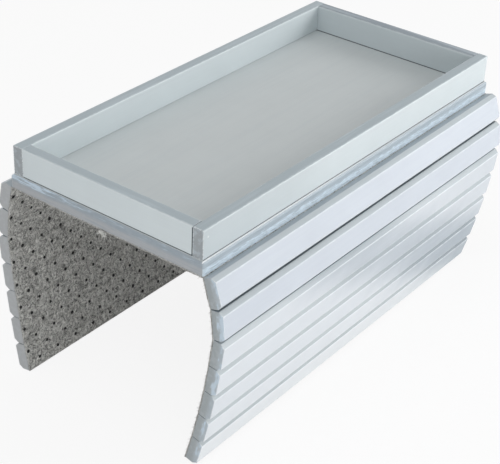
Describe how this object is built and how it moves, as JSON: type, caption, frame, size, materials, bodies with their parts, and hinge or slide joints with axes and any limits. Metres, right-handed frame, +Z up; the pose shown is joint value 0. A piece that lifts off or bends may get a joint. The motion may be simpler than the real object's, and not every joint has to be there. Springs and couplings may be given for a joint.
{
  "type": "sofa arm tray",
  "caption": "Small railed wooden tray on a board, with felt-backed slatted wings that fold down over both sides of a sofa's arm.",
  "frame": {"origin": "middle of the felt's underside below the board, where the part rests on the arm", "axes": "+Z up, +Y along the tray's length, X across the arm from the left wing to the right wing"},
  "size_m": [0.2345, 0.406, 0.214],
  "materials": {
    "rail_paint": "satin silver-grey paint, brushed on",
    "board_paint": "satin silver-grey paint, brushed light blue on the edges",
    "slat_paint": "satin pale silver paint with darker brushed end grain",
    "felt": "mottled grey needle felt with black rubber grip dots",
    "brad_steel": "bright steel wire"
  },
  "bodies": {
    "tray": {"base_board": "board_paint", "left_rail": "rail_paint", "right_rail": "rail_paint", "front_rail": "rail_paint", "rear_rail": "rail_paint", "centre_felt": "felt", "corner_brads": "brad_steel", "board_brads": "brad_steel"},
    "left_slat_1": {"left_slat_1": "slat_paint", "left_felt_1": "felt"},
    "left_slat_2": {"left_slat_2": "slat_paint", "left_felt_2": "felt"},
    "left_slat_3": {"left_slat_3": "slat_paint", "left_felt_3": "felt"},
    "left_slat_4": {"left_slat_4": "slat_paint", "left_felt_4": "felt"},
    "left_slat_5": {"left_slat_5": "slat_paint", "left_felt_5": "felt"},
    "left_slat_6": {"left_slat_6": "slat_paint", "left_felt_6": "felt"},
    "left_slat_7": {"left_slat_7": "slat_paint", "left_felt_7": "felt"},
    "right_slat_1": {"right_slat_1": "slat_paint", "right_felt_1": "felt"},
    "right_slat_2": {"right_slat_2": "slat_paint", "right_felt_2": "felt"},
    "right_slat_3": {"right_slat_3": "slat_paint", "right_felt_3": "felt"},
    "right_slat_4": {"right_slat_4": "slat_paint", "right_felt_4": "felt"},
    "right_slat_5": {"right_slat_5": "slat_paint", "right_felt_5": "felt"},
    "right_slat_6": {"right_slat_6": "slat_paint", "right_felt_6": "felt"},
    "right_slat_7": {"right_slat_7": "slat_paint", "right_felt_7": "felt"}
  },
  "joints": [
    {"name": "left_fold_1", "type": "hinge", "parent": "tray", "child": "left_slat_1", "pos_m": [-0.0972, 0, 0.0012], "axis": [0, 1, 0], "range_deg": [-22, 78]},
    {"name": "left_fold_2", "type": "hinge", "parent": "left_slat_1", "child": "left_slat_2", "pos_m": [-0.10248, 0, -0.02364], "axis": [0, 1, 0], "range_deg": [-19, 6]},
    {"name": "left_fold_3", "type": "hinge", "parent": "left_slat_2", "child": "left_slat_3", "pos_m": [-0.10514, 0, -0.04891], "axis": [0, 1, 0], "range_deg": [-14, 11]},
    {"name": "left_fold_4", "type": "hinge", "parent": "left_slat_3", "child": "left_slat_4", "pos_m": [-0.10292, 0, -0.07421], "axis": [0, 1, 0], "range_deg": [-23.7, 1.3]},
    {"name": "left_fold_5", "type": "hinge", "parent": "left_slat_4", "child": "left_slat_5", "pos_m": [-0.10014, 0, -0.09946], "axis": [0, 1, 0], "range_deg": [-23.7, 1.3]},
    {"name": "left_fold_6", "type": "hinge", "parent": "left_slat_5", "child": "left_slat_6", "pos_m": [-0.09678, 0, -0.12463], "axis": [0, 1, 0], "range_deg": [-23.7, 1.3]},
    {"name": "left_fold_7", "type": "hinge", "parent": "left_slat_6", "child": "left_slat_7", "pos_m": [-0.09285, 0, -0.14973], "axis": [0, 1, 0], "range_deg": [-23.7, 1.3]},
    {"name": "right_fold_1", "type": "hinge", "parent": "tray", "child": "right_slat_1", "pos_m": [0.0972, 0, 0.0012], "axis": [0, 1, 0], "range_deg": [-72, 28]},
    {"name": "right_fold_2", "type": "hinge", "parent": "right_slat_1", "child": "right_slat_2", "pos_m": [0.10505, 0, -0.02296], "axis": [0, 1, 0], "range_deg": [-11, 14]},
    {"name": "right_fold_3", "type": "hinge", "parent": "right_slat_2", "child": "right_slat_3", "pos_m": [0.10814, 0, -0.04817], "axis": [0, 1, 0], "range_deg": [-14, 11]},
    {"name": "right_fold_4", "type": "hinge", "parent": "right_slat_3", "child": "right_slat_4", "pos_m": [0.10505, 0, -0.07338], "axis": [0, 1, 0], "range_deg": [-1.9, 23.1]},
    {"name": "right_fold_5", "type": "hinge", "parent": "right_slat_4", "child": "right_slat_5", "pos_m": [0.10112, 0, -0.09847], "axis": [0, 1, 0], "range_deg": [-1.9, 23.1]},
    {"name": "right_fold_6", "type": "hinge", "parent": "right_slat_5", "child": "right_slat_6", "pos_m": [0.09636, 0, -0.12342], "axis": [0, 1, 0], "range_deg": [-1.9, 23.1]},
    {"name": "right_fold_7", "type": "hinge", "parent": "right_slat_6", "child": "right_slat_7", "pos_m": [0.09078, 0, -0.1482], "axis": [0, 1, 0], "range_deg": [-1.9, 23.1]}
  ]
}
